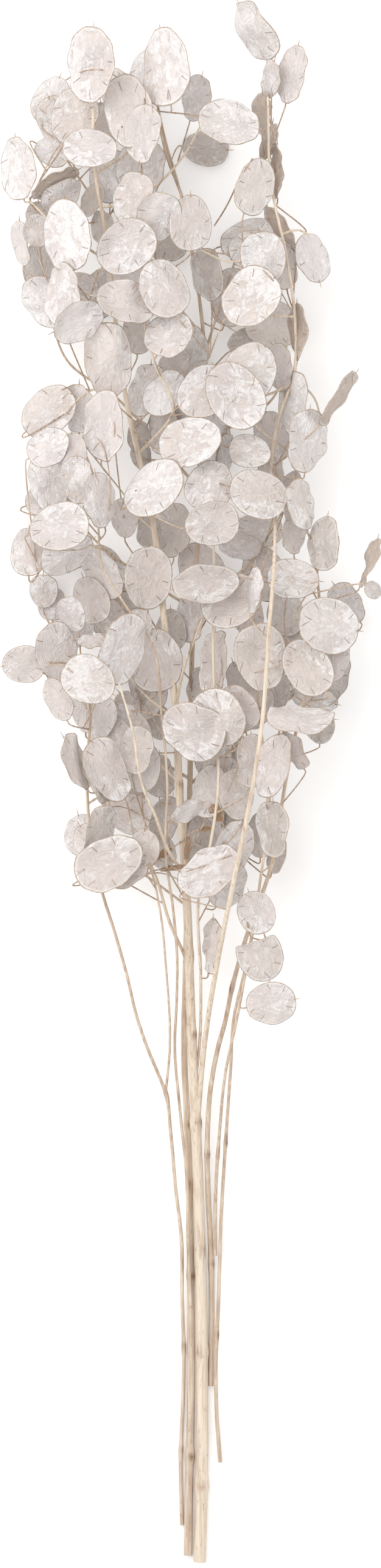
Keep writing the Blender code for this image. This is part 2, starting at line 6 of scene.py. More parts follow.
import bpy
import numpy as np
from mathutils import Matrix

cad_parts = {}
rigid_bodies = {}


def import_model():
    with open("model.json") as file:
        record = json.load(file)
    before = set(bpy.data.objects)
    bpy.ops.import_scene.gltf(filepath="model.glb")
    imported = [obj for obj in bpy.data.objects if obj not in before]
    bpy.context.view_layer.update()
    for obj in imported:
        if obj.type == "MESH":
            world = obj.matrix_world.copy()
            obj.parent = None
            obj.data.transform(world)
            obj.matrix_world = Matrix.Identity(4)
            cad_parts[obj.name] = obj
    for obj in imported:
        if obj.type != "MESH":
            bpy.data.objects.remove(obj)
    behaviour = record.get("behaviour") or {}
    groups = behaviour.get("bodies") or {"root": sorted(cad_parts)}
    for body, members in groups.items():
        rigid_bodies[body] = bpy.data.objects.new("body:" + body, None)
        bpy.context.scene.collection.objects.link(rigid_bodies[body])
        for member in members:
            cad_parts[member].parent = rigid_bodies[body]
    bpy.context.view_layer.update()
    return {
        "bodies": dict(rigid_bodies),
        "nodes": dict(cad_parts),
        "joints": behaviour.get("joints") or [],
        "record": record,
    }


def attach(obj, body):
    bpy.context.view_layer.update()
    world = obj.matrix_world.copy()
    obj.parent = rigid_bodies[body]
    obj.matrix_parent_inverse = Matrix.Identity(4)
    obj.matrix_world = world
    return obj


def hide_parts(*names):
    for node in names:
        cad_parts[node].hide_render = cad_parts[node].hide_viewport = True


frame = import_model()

# Driving sizes, in metres
bunchLength = 0.805
bladeThick = 0.0007
outlinePower = 0.88
stalkRadius = 0.00055
stackGap = 0.0007  # air between two pods where they lie over each other
lowPods = 6  # these lie on the surface, the others at their layer's height or above
podRatio = 0.77  # true width of a pod over its length

# The photograph's own size in pixels: places below are read from it
photoWide, photoHigh = 626, 2576
pixel = bunchLength / photoHigh

podSides = 9
hiddenSides = 8
steepest = {"back": math.radians(42), "mid": math.radians(66), "front": math.radians(66)}
backPods = 13  # pods that the photograph hides, behind those that it shows
layerHeight = {"back": 0.0, "mid": 0.027, "front": 0.053}
layerSpread = {"back": 0.009, "mid": 0.009, "front": 0.010}

# Each branch: node, branch it grows from, start and end diameter in mm, sides,
# heights in mm spread evenly along it, and its route in the photograph
branches = {
    "main": ("main_stem", None, 6.6, 1.6, 8,
             (3.4, 3.6, 5, 14, 31, 37, 38, 39, 42, 50, 56),
             ((328, 2574), (332, 2430), (331, 2150), (322, 1848), (315, 1700), (306, 1462), (294, 1290),
              (288, 1153), (272, 1040), (262, 940), (250, 850), (228, 750), (208, 660), (190, 530),
              (174, 383), (156, 279), (153, 176))),
    "mainRight": ("main_stem", "main", 2.8, 1.2, 6,
                  (14, 22, 36, 56, 78, 88, 89, 89, 88, 84, 62, 44, 42, 46, 52, 54, 55, 56),
                  ((324, 1850), (337, 1709), (361, 1561), (383, 1450), (415, 1290), (431, 1179), (441, 1040),
                   (450, 924), (452, 860), (445, 770), (459, 685), (483, 614), (485, 526), (470, 420),
                   (445, 300), (440, 160))),
    "mainThin": ("main_stem", "main", 1.6, 1.2, 6, (18, 27, 40, 52, 55, 55, 55, 55),
                 ((320, 1790), (329, 1700), (330, 1609), (327, 1472), (345, 1390), (358, 1300), (352, 1140),
                  (350, 1045), (352, 950), (350, 870), (345, 790))),
    "mainLow": ("main_stem", "main", 2.0, 1.2, 6, (27, 36, 38),
                ((308, 1580), (279, 1517), (255, 1438), (232, 1390))),
    "mainLeft": ("main_stem", "main", 1.8, 1.0, 6, (33, 68, 80, 82),
                 ((304, 1440), (275, 1394), (256, 1342), (234, 1290), (218, 1199), (196, 1123))),
    "mainTwigA": ("main_stem", "main", 1.4, 1.0, 4, (37, 40, 44), ((294, 1285), (255, 1247), (216, 1167))),
    "mainTwigB": ("main_stem", "main", 1.4, 1.0, 4, (38, 42, 46), ((288, 1180), (244, 1147), (212, 1110))),
    "mainTwigC": ("main_stem", "main", 1.6, 1.0, 4, (37, 44, 53, 54),
                  ((289, 1160), (303, 1095), (319, 1052), (339, 1000))),
    "mainTwigD": ("main_stem", "main", 1.4, 1.0, 4, (38, 44, 48),
                  ((253, 870), (224, 845), (206, 815))),
    "mainTwigE": ("main_stem", "main", 1.6, 1.0, 4, (38, 48, 56, 57, 57),
                  ((226, 745), (255, 717), (283, 680), (255, 598), (240, 550), (239, 470))),
    "mainTwigF": ("main_stem", "main", 1.4, 1.0, 4, (43, 44, 44), ((190, 540), (140, 520), (92, 498))),
    "mainTwigG": ("main_stem", "main", 1.4, 1.0, 4, (47, 48, 46, 44),
                  ((178, 430), (140, 405), (95, 375), (50, 330))),
    "mainTwigH": ("main_stem", "main", 1.6, 1.0, 4, (52, 50, 46, 44, 44),
                  ((166, 340), (215, 335), (262, 300), (305, 250), (330, 205))),
    "mainTwigI": ("main_stem", "main", 1.4, 1.0, 4, (53, 50, 46), ((157, 285), (210, 250), (245, 190))),
    "mainTwigJ": ("main_stem", "main", 1.4, 1.0, 4, (41, 42, 42), ((204, 640), (150, 640), (105, 680))),
    "rightTwigA": ("main_stem", "mainRight", 1.2, 1.0, 4, (40, 40, 40),
                   ((480, 620), (515, 650), (530, 700))),
    "rightTwigB": ("main_stem", "mainRight", 1.4, 1.0, 4, (40, 46, 50, 50),
                   ((476, 632), (430, 650), (380, 640), (335, 610))),
    "rightTwigC": ("main_stem", "mainRight", 1.2, 1.0, 4, (47, 52, 54),
                   ((486, 520), (440, 520), (400, 530))),
    "rightTwigD": ("main_stem", "mainRight", 1.2, 1.0, 4, (52, 50, 46, 44),
                   ((464, 395), (420, 420), (380, 430), (330, 410))),
    "rightTwigE": ("main_stem", "mainRight", 1.2, 1.0, 4, (52, 50, 50),
                   ((462, 385), (492, 378), (508, 386))),
    "second": ("second_stem", None, 4.4, 1.4, 6, (2.3, 2.4, 2.7, 5, 12, 13, 13, 12, 12, 12),
               ((309, 2563), (311, 2430), (313, 2350), (313.5, 2150), (312, 2000), (308, 1850), (303, 1750),
                (305, 1600), (310, 1400), (313, 1230), (316, 1060), (325, 900), (335, 800), (340, 700),
                (333, 534), (319, 430), (299, 319), (275, 255), (257, 180))),
    "backA": ("second_stem", "second", 1.4, 1.0, 4, (12, 13, 13), ((336, 580), (358, 510), (395, 400))),
    "backB": ("second_stem", "second", 1.6, 1.0, 4, (12, 13, 13, 13),
              ((340, 710), (400, 690), (450, 650), (475, 550))),
    "backC": ("second_stem", "second", 1.6, 1.0, 4, (13, 13, 13, 13),
              ((320, 980), (380, 950), (430, 900), (455, 800), (450, 740))),
    "backD": ("second_stem", "second", 1.6, 1.0, 4, (13, 13, 13, 13),
              ((312, 1290), (370, 1230), (430, 1180), (500, 1130), (540, 1090))),
    "backE": ("second_stem", "second", 1.6, 1.0, 4, (13, 13, 13, 13),
              ((312, 1280), (250, 1240), (190, 1190), (140, 1140), (95, 1050))),
    "backF": ("second_stem", "second", 1.6, 1.0, 4, (13, 13, 13, 13),
              ((318, 1000), (240, 950), (160, 890), (95, 810))),
    "backG": ("second_stem", "second", 1.6, 1.0, 4, (12, 13, 13, 13),
              ((334, 810), (265, 730), (190, 650), (110, 590), (75, 480))),
    "backH": ("second_stem", "second", 1.6, 1.0, 4, (12, 13, 13, 13),
              ((334, 550), (260, 460), (190, 370), (130, 290), (85, 220))),
    "backI": ("second_stem", "second", 1.4, 1.0, 4, (12, 13, 13), ((308, 1490), (240, 1440), (160, 1390))),
    "backJ": ("second_stem", "second", 1.4, 1.0, 4, (12, 13, 13), ((309, 1440), (350, 1390), (385, 1300))),
    "left": ("left_stem", None, 2.1, 1.4, 6, (1.2, 1.4, 3, 9, 20, 36, 52, 54, 54, 54),
             ((299, 2513), (297, 2390), (300.5, 2310), (302, 2238), (299, 2135), (298, 2039), (289, 1960),
              (280, 1860), (273, 1800), (259, 1764), (241, 1720), (224, 1669), (208, 1601), (188, 1530),
              (168, 1466), (150, 1380), (143, 1290), (146, 1219), (148, 1159), (125, 1090), (98, 1030))),
    "leftTwigA": ("left_stem", "left", 1.4, 1.0, 6, (23, 34, 46, 54, 54),
                  ((272, 1800), (279, 1720), (273, 1593), (262, 1490), (248, 1430), (222, 1385))),
    "leftTwigB": ("left_stem", "left", 1.2, 1.0, 4, (54, 55, 55), ((145, 1320), (175, 1300), (200, 1275))),
    "leftTwigC": ("left_stem", "left", 1.2, 1.0, 4, (54, 54, 54), ((148, 1165), (110, 1130), (62, 1100))),
    "leftInner": ("left_inner_stem", None, 1.7, 1.0, 6, (6, 11, 18, 25, 38, 50, 52, 53, 53, 54),
                  ((313, 2150), (309, 2050), (307, 1943), (295, 1820), (287, 1720), (290, 1649), (291, 1577),
                   (285, 1500), (272, 1400), (275, 1290), (266, 1180), (250, 1060), (200, 985), (165, 920),
                   (162, 870), (153, 780), (140, 745), (122, 712))),
    "leftInnerTwig": ("left_inner_stem", "leftInner", 1.2, 1.0, 4, (54, 55, 55),
                      ((164, 900), (120, 895), (80, 920))),
    "right": ("right_stem", None, 2.1, 1.2, 6, (1.2, 4.8, 5.5, 10, 20, 34, 50, 54, 54, 54),
              ((362, 2409), (356, 2322), (355, 2240), (359, 2150), (364, 2000), (371, 1880), (379, 1760),
               (385, 1669), (399, 1609), (410, 1560), (419, 1510), (427, 1450), (439, 1370), (443, 1322),
               (434, 1240), (424, 1150), (422, 1080))),
    "rightTwigF": ("right_stem", "right", 1.2, 1.0, 4, (54, 55, 55),
                   ((436, 1250), (460, 1200), (475, 1165))),
    "rightOuter": ("right_outer_stem", None, 3.2, 1.2, 6, (1.8, 2.2, 6, 16, 28, 40, 46, 47, 48, 50, 52),
                   ((346, 2283), (348, 2150), (346, 2039), (342, 1960), (341, 1868), (347, 1784),
                    (359, 1720), (370, 1680), (382, 1621), (393, 1580), (408, 1530), (432, 1466),
                    (452, 1400), (462, 1330), (480, 1230), (500, 1150), (516, 1080), (525, 1020),
                    (520, 940), (508, 880), (470, 830))),
    "rightShort": ("right_short_stem", None, 2.0, 1.2, 6, (5.8, 12, 24, 42, 56, 60),
                   ((354, 2067), (354, 1980), (361, 1860), (371, 1760), (388, 1680), (403, 1600),
                    (412, 1540))),
}

# The pods that show, from the back to the front of each layer:
# middle x and y, length, width, and which way the tip points, clockwise from up
pods = {
    ("second_stem", "back"): (
        (243, 118, 90, 60, 10), (83, 158, 82, 62, 20), (95, 200, 95, 65, -20), (195, 150, 90, 60, -20),
        (338, 237, 76, 60, 95), (180, 285, 90, 70, 0), (225, 270, 95, 70, 0), (275, 385, 80, 70, 0),
        (412, 392, 100, 70, 80), (405, 558, 60, 45, 60), (385, 485, 98, 80, 20), (450, 530, 95, 80, 110),
        (65, 430, 85, 50, 10), (268, 705, 80, 50, 0), (310, 575, 90, 65, 0), (78, 815, 80, 60, 70),
        (78, 790, 100, 70, 0), (175, 930, 80, 55, -30), (330, 935, 95, 75, -30), (372, 740, 60, 30, 0),
        (445, 717, 90, 60, -10), (425, 868, 80, 60, 90), (437, 942, 95, 70, -30), (140, 1168, 70, 45, 0),
        (545, 1112, 100, 60, 20), (515, 1150, 80, 40, 100), (572, 990, 75, 50, -35),
        (330, 1375, 70, 50, 0), (85, 990, 55, 48, 0), (70, 970, 55, 48, 0), (175, 1012, 80, 60, -30),
        (182, 1220, 45, 30, 0), (133, 1371, 68, 60, -10)),
    ("main_stem", "mid"): (
        (85, 248, 60, 48, 120), (32, 275, 104, 60, -8), (90, 300, 88, 30, 60), (100, 320, 75, 45, 50),
        (35, 398, 75, 28, -5), (60, 378, 55, 45, 0), (120, 190, 95, 75, 20), (322, 160, 76, 48, 15),
        (250, 278, 88, 45, 5), (205, 445, 95, 65, 30), (417, 50, 108, 52, -28), (480, 121, 98, 44, 12),
        (445, 128, 62, 30, 12), (431, 185, 70, 30, 0), (440, 230, 62, 26, 15), (456, 280, 92, 16, 0),
        (458, 372, 85, 20, -35), (415, 408, 80, 65, 80), (515, 422, 84, 50, 165), (340, 450, 88, 54, -10),
        (465, 435, 80, 45, -10), (488, 545, 95, 26, 0), (482, 662, 105, 50, 5), (460, 603, 80, 42, -10),
        (505, 725, 105, 66, 5), (555, 655, 105, 24, 35), (75, 495, 95, 65, -35), (133, 468, 62, 45, 100),
        (240, 640, 90, 55, 10), (130, 670, 80, 55, 0), (80, 676, 100, 75, 50), (270, 645, 85, 60, 40),
        (205, 850, 65, 45, 0), (170, 940, 95, 55, -25), (243, 949, 105, 80, 0), (228, 1030, 60, 45, 0),
        (257, 1085, 105, 85, 0), (354, 1088, 105, 48, 0), (218, 1194, 88, 50, -35),
        (232, 1260, 85, 65, 0), (210, 1336, 80, 66, 110), (308, 1332, 60, 30, 60), (380, 1333, 50, 34, 0),
        (382, 1392, 95, 64, 20), (346, 1555, 92, 26, 5), (372, 1280, 75, 60, 0), (190, 1215, 85, 60, -30),
        (225, 1232, 80, 55, 10), (345, 1300, 90, 60, 10), (388, 1305, 85, 60, -15),
        (150, 985, 80, 60, -20), (168, 1180, 75, 50, 20), (420, 1165, 80, 55, 30),
        (150, 1390, 80, 60, -30), (375, 1455, 80, 55, 30)),
    ("main_stem", "front"): (
        (272, 112, 130, 82, -8), (376, 204, 104, 72, 102), (213, 185, 120, 80, -15),
        (151, 109, 126, 78, 3), (233, 222, 98, 62, 185), (148, 246, 90, 65, 95), (218, 328, 90, 62, 20),
        (112, 387, 120, 78, -5), (260, 358, 80, 72, 10), (313, 368, 92, 70, 0), (208, 407, 105, 85, 50),
        (417, 308, 96, 62, 20), (433, 425, 90, 75, -10), (412, 490, 104, 90, 50), (335, 646, 96, 82, 60),
        (412, 611, 100, 88, 30), (386, 651, 118, 90, -35), (100, 483, 102, 58, -5),
        (128, 530, 90, 60, 245), (207, 498, 98, 70, 100), (278, 551, 80, 74, 30),
        (270, 475, 100, 80, -25), (178, 593, 122, 80, -8), (344, 799, 85, 78, 20), (348, 861, 90, 72, 80),
        (313, 728, 105, 82, 80), (252, 802, 112, 78, 55), (380, 988, 105, 85, 60),
        (338, 960, 112, 70, 260), (390, 1165, 80, 68, -20), (358, 1180, 100, 85, -30),
        (317, 1201, 110, 90, 115), (343, 1430, 110, 72, 50), (410, 742, 70, 55, 100),
        (415, 970, 80, 25, 5), (175, 700, 116, 68, 8), (424, 813, 98, 80, 105), (412, 1250, 90, 45, 0)),
    ("left_inner_stem", "front"): (
        (118, 745, 70, 50, 0), (127, 790, 78, 52, 0), (80, 735, 75, 60, 60), (165, 823, 90, 52, -10),
        (48, 907, 80, 62, 0), (110, 910, 95, 60, 60), (98, 867, 100, 78, 75)),
    ("left_stem", "front"): (
        (38, 1092, 70, 62, 265), (118, 1010, 60, 42, -20), (93, 1072, 100, 68, -15),
        (150, 1052, 45, 25, 90), (95, 1150, 75, 42, -25), (202, 1066, 120, 72, 25),
        (146, 1118, 92, 78, 120), (124, 1253, 95, 40, -25), (158, 1280, 80, 30, -30),
        (178, 1265, 110, 66, -30), (165, 1362, 85, 45, 20), (238, 1392, 60, 50, 0),
        (208, 1436, 75, 40, 65), (180, 1418, 120, 82, 60)),
    ("right_stem", "front"): (
        (428, 1078, 112, 86, -10), (482, 1233, 70, 32, -30), (448, 1258, 108, 58, 10),
        (448, 1363, 92, 52, 0), (525, 1192, 60, 50, 0), (493, 1177, 110, 58, 95)),
    ("right_outer_stem", "front"): (
        (545, 1078, 85, 58, 15), (505, 1097, 100, 75, -35), (540, 1028, 100, 92, 100),
        (605, 925, 85, 18, 20), (612, 970, 30, 28, 120), (530, 893, 90, 52, 10), (483, 866, 90, 40, 0),
        (494, 830, 85, 45, -15), (481, 952, 86, 66, 95)),
    ("right_short_stem", "front"): (
        (421, 1499, 72, 62, -20), (426, 1567, 92, 76, 160), (445, 1648, 82, 70, 80)),
}

# Pods that aren't plain ovals
oddForms = {(233, 222): "teardrop", (338, 960): "teardrop", (493, 1177): "folded", (426, 1567): "torn"}


# Place in metres of a pixel of the photograph, at a height in metres
def place(x, y, height=0.0):
    return np.array([(x - photoWide / 2) * pixel, (photoHigh / 2 - y) * pixel, height])


# A smooth run of points through a branch's route, spaced about step apart
def smoothRoute(route, heights, step):
    flat = np.array([place(x, y) for x, y in route])
    steps = np.r_[0.0, np.cumsum(np.linalg.norm(np.diff(flat, axis=0), axis=1))]
    flat[:, 2] = np.interp(steps / steps[-1], np.linspace(0, 1, len(heights)), heights) / 1000
    count = max(3, round(steps[-1] / step) + 1)
    wanted = np.linspace(0, steps[-1], count)
    slopes = np.gradient(flat, steps, axis=0)
    points = []
    for s in wanted:
        i = min(int(np.searchsorted(steps, s, "right")) - 1, len(steps) - 2)
        span = steps[i + 1] - steps[i]
        t = (s - steps[i]) / span
        points.append((1 + 2 * t) * (1 - t) ** 2 * flat[i] + t * (1 - t) ** 2 * span * slopes[i]
                      + t * t * (3 - 2 * t) * flat[i + 1] + t * t * (t - 1) * span * slopes[i + 1])
    return np.array(points)


# The nearest place to a point, seen from above, on a run of points
def nearestOn(run, point):
    best = None
    for a, b in zip(run, run[1:]):
        span = b - a
        t = np.clip((point - a)[:2] @ span[:2] / (span[:2] @ span[:2]), 0.02, 0.98)
        off = np.linalg.norm((a + t * span - point)[:2])
        if best is None or off < best[0]:
            best = (off, a + t * span)
    return best[1]


# A pod's size, turn and lie: a narrow one is seen from its side, a short one end on
def podLie(entry, layer, slack, signs):
    x, y, long, wide, turn = entry
    roll, pitch = slack
    if wide < podRatio * long:
        roll = min(math.acos(wide / (podRatio * long)), steepest[layer])
    if wide > podRatio * 1.1 * long:
        pitch = math.acos(long / (wide / podRatio / 1.1))
    roll *= signs[0]
    pitch *= signs[1]
    turn = math.radians(turn)
    along = np.array([math.sin(turn) * math.cos(pitch), math.cos(turn) * math.cos(pitch), math.sin(pitch)])
    flatAcross = np.array([math.cos(turn), -math.sin(turn), 0.0])
    normal = np.cross(flatAcross, along)
    across = flatAcross * math.cos(roll) + normal * math.sin(roll)
    return {"middle": place(x, y), "along": along * long * pixel / 2 / math.cos(pitch),
            "across": across * wide * pixel / 2 / math.cos(roll)}


# Points of a pod's outline for a circle of angles: base at -1, tip at 1, often a little egg-shaped
def podOutline(angles, pod):
    u, v = np.sign(np.sin(angles)) * np.abs(np.sin(angles)) ** outlinePower, -np.cos(angles)
    x, y = pod["entry"][:2]
    form = oddForms.get((x, y))
    if form == "teardrop":
        return u * (1 + 0.1 * v - 0.42 * np.clip(v, 0, 1) ** 1.5), v
    if form == "folded":
        return np.where(u < 0, -0.5 * np.abs(u) ** 0.3, u), v
    if form == "torn":
        return u, np.clip(v, -0.5, 1)
    return u * (1 + 0.13 * math.sin(x + 0.7 * y) * v), v


# How high pod a has to be lifted to lie clear over pod b
def liftOver(a, b):
    reach = np.linalg.norm(a["along"][:2]) + np.linalg.norm(b["along"][:2])
    if np.linalg.norm(a["middle"][:2] - b["middle"][:2]) > reach * 1.05:
        return -1.0
    best = -1.0
    for one, other, sign in ((a, b, 1), (b, a, -1)):
        u, v = podSamples
        spots = u[:, None] * one["across"] + v[:, None] * one["along"]
        offset = spots[:, :2] + one["middle"][:2] - other["middle"][:2]
        frame = np.column_stack([other["across"][:2], other["along"][:2]])
        inside = np.linalg.solve(frame, offset.T)
        held = np.sum(inside**2, axis=0) < 1.25
        if held.any():
            rise = inside[0] * other["across"][2] + inside[1] * other["along"][2] - spots[:, 2]
            best = max(best, float(np.max(sign * rise[held])))
    if best <= -1.0:
        return -1.0
    thick = bladeThick / 2 * (1 / uprightness(a) + 1 / uprightness(b))
    return b["middle"][2] + best + thick + stackGap


def uprightness(pod):
    normal = np.cross(pod["across"], pod["along"])
    return abs(normal[2]) / np.linalg.norm(normal)


# How far a pod reaches below its middle
def halfHeight(pod):
    u, v = podOutline(outlineAngles(pod), pod)
    return bladeThick / 2 * uprightness(pod) - float(np.min(u * pod["across"][2] + v * pod["along"][2]))


# The corners of a pod's outline as angles, with a narrow side at its base for the stalk
def outlineAngles(pod):
    neck = math.asin((stalkRadius / np.linalg.norm(pod["across"])) ** (1 / outlinePower))
    return np.linspace(neck, 2 * math.pi - neck, pod["sides"])


# Sample places over a pod, in its own measures
ringAngles = np.linspace(0, 2 * math.pi, 13)[:-1]
podSamples = np.concatenate([np.array([np.sin(ringAngles), np.cos(ringAngles)]) * r
                             for r in (0.0, 0.35, 0.7, 1.0)], axis=1)


# True where the photograph shows a pod at this place
def shown(spot, placed):
    for pod in placed:
        offset = spot[:2] - pod["middle"][:2]
        frame = np.column_stack([pod["across"][:2], pod["along"][:2]])
        if np.sum(np.linalg.solve(frame, offset) ** 2) < 1.0:
            return True
    return False


# Pods that the photograph hides, grown along the back branches under those that show
def hiddenPods(placed, runs, draw):
    found = []
    names = [n for n in branches if n.startswith("back")]
    tries = 0
    while len(found) < backPods and tries < 4000:
        tries += 1
        name = names[tries % len(names)]
        run = runs[name]
        k = draw.randrange(len(run) - 1)
        heading = run[k + 1] - run[k]
        ahead = math.degrees(math.atan2(heading[0], heading[1]))
        turn = ahead + draw.choice((-1, 1)) * draw.uniform(25, 110)
        long = draw.uniform(78, 108)
        wide = long * draw.uniform(0.55, 0.8)
        out = long / 2 + draw.uniform(22, 48)
        x = run[k][0] / pixel + photoWide / 2 + out * math.sin(math.radians(turn))
        y = photoHigh / 2 - run[k][1] / pixel - out * math.cos(math.radians(turn))
        pod = podLie((x, y, long, wide, turn), "back", (0.1, 0.1), (1, 1))
        u, v = podOutline(ringAngles, pod | {"entry": (x, y)})
        rim = [pod["middle"] + a * pod["across"] + b * pod["along"] for a, b in zip(u, v)]
        close = [p for p in found if np.linalg.norm(p["middle"][:2] - pod["middle"][:2]) < 0.011]
        if not close and all(shown(spot, placed) for spot in rim):
            pod.update(node="second_stem", layer="back", sides=hiddenSides, entry=(x, y, long, wide, turn))
            found.append(pod)
    return found


# Every pod, tilted the way that lets it lie lowest, clear of those already under it
def layOut(runs):
    draw = random.Random(7)
    placed = []
    for (node, layer), entries in pods.items():
        for entry in entries:
            pod = podLie(entry, layer, (0.1, 0.1), (1, 1))
            pod.update(node=node, layer=layer, sides=podSides, entry=entry)
            placed.append(pod)
    order = hiddenPods(placed, runs, draw) + placed
    for i, pod in enumerate(order):
        layer = pod["layer"]
        spare = draw.uniform(0, layerSpread[layer])
        slack = math.radians(draw.uniform(4, 26)), math.radians(draw.uniform(2, 20))
        lies = []
        for signs in ((1, 1), (1, -1), (-1, 1), (-1, -1)):
            lie = podLie(pod["entry"], layer, slack, signs) | {"sides": pod["sides"], "entry": pod["entry"]}
            floor = 0.0 if i < lowPods else layerHeight[layer] + spare
            lifts = [liftOver(lie, under) for under in order[:i]]
            lie["middle"][2] = max([floor + halfHeight(lie)] + lifts)
            lies.append(lie)
        pod.update(min(lies, key=lambda lie: lie["middle"][2]))
    return order


# Where each pod's stalk joins its stem: the nearest wood behind its base, the nearest pods first
def stalks(order, runs):
    wood = {}
    for name, run in runs.items():
        wood.setdefault(branches[name][0], []).extend(run[1:])
    queue = []
    for pod in order:
        base = pod["middle"] - pod["along"]
        queue.append((float(np.min(np.linalg.norm(np.array(wood[pod["node"]]) - base, axis=1))), base, pod))
    queue.sort(key=lambda item: item[0])
    for _, base, pod in queue:
        back = -pod["along"] / np.linalg.norm(pod["along"])
        way = np.array(wood[pod["node"]]) - base
        far = np.linalg.norm(way, axis=1) + 1e-6
        turned = np.degrees(np.arccos(np.clip(way @ back / far, -1, 1)))
        cost = far + 0.00035 * np.maximum(turned - 40, 0) + np.where(far < 0.004, 0.02, 0)
        best = int(np.argmin(cost))
        bend = base + back * min(0.003, far[best] * 0.4)
        pod["stalk"] = [base, bend, base + way[best]]
        if turned[best] > 75:
            aside = way[best] - back * (way[best] @ back)
            pod["stalk"].insert(2, bend + aside / np.linalg.norm(aside) * min(0.0025, far[best] * 0.4))
        wood[pod["node"]].append((pod["stalk"][-2] + 2 * pod["stalk"][-1]) / 3)


stemStep, twigStep = 0.028, 0.024  # spacing along the solids' own stems and twigs, in metres


# The middle line of each stem and twig, as the solids have it
def branchRuns():
    made = {}
    for name, (node, parent, thick, thin, sides, heights, route) in branches.items():
        made[name] = smoothRoute(route, heights, stemStep if sides > 4 else twigStep)
        if parent:
            made[name][0] = nearestOn(made[parent], made[name][0])
    return made


# Pods that are greyer than the rest, and tan ones, most of them seen on edge
greyPods = {(338, 237, 76, 60, 95), (340, 450, 88, 54, -10), (405, 558, 60, 45, 60), (530, 893, 90, 52, 10),
            (525, 1192, 60, 50, 0), (275, 385, 80, 70, 0), (448, 1363, 92, 52, 0)}
tanPods = {(431, 185, 70, 30, 0), (440, 230, 62, 26, 15), (456, 280, 92, 16, 0), (458, 372, 85, 20, -35),
           (488, 545, 95, 26, 0), (605, 925, 85, 18, 20), (555, 655, 105, 24, 35), (90, 300, 88, 30, 60)}


# A shader socket whose sums read as sums
class Sock:
    def __init__(self, tree, socket):
        self.tree = tree
        self.socket = socket

    def math(self, operation, *others):
        feeds = dict(enumerate((self, *others)))
        return nodeOf(self.tree, "ShaderNodeMath", {"operation": operation}, feeds)

    def __add__(self, other):
        return self.math("ADD", other)

    def __radd__(self, other):
        return self.math("ADD", other)

    def __sub__(self, other):
        return self.math("SUBTRACT", other)

    def __rsub__(self, other):
        return nodeOf(self.tree, "ShaderNodeMath", {"operation": "SUBTRACT"}, {0: other, 1: self})

    def __mul__(self, other):
        return self.math("MULTIPLY", other)

    def __rmul__(self, other):
        return self.math("MULTIPLY", other)

    def __pow__(self, other):
        return self.math("POWER", other)

    def step(self, low, high):  # rises smoothly from 0 at low to 1 at high
        return nodeOf(self.tree, "ShaderNodeMapRange", {"interpolation_type": "SMOOTHSTEP"},
                      {"Value": self, "From Min": low, "From Max": high})


# Adds a node, sets what it is, then feeds its sockets, and wraps the output asked for
def nodeOf(tree, kind, settings, feeds, output=0):
    node = tree.nodes.new(kind)
    for key, value in settings.items():
        if key == "stops":
            ramp = node.color_ramp
            while len(ramp.elements) < len(value):
                ramp.elements.new(0.5)
            for element, (spot, colour) in zip(ramp.elements, value):
                element.position = spot
                element.color = (*colour, 1)
        else:
            setattr(node, key, value)
    for key, value in feeds.items():
        socket = node.inputs[key]
        if isinstance(value, Sock):
            tree.links.new(value.socket, socket)
        elif isinstance(value, tuple) and len(value) == 3 and len(socket.default_value) == 4:
            socket.default_value = (*value, 1)
        else:
            socket.default_value = value
    return Sock(tree, node.outputs[output]) if node.outputs else None


def mixColour(tree, amount, a, b):
    return nodeOf(tree, "ShaderNodeMix", {"data_type": "RGBA"}, {0: amount, 6: a, 7: b}, 2)


def startMaterial(name):
    made = bpy.data.materials.new(name)
    made.use_nodes = True
    made.node_tree.nodes.clear()
    return made, made.node_tree


def finishMaterial(tree, feeds):
    shader = nodeOf(tree, "ShaderNodeBsdfPrincipled", {}, feeds)
    nodeOf(tree, "ShaderNodeOutputMaterial", {}, {"Surface": shader})


podFinish = {"silver": (0.885, 0.872, 0.875), "pale": (0.80, 0.745, 0.725), "beige": (0.70, 0.62, 0.585),
             "grey": (0.56, 0.50, 0.455), "tan": (0.50, 0.395, 0.32), "warm": (0.745, 0.665, 0.61),
             "brown": (0.42, 0.24, 0.12), "crease": (0.55, 0.46, 0.385), "rim": (0.36, 0.26, 0.18),
             "rimPale": (0.56, 0.44, 0.34), "mark": (0.20, 0.115, 0.07), "seed": (0.25, 0.06, 0.03),
             "rimStart": 0.955, "borderStart": 0.90, "threads": 7, "roughness": 0.34, "clear": 0.26,
             "crinkle": 0.54, "crinkleDepth": 0.0018}


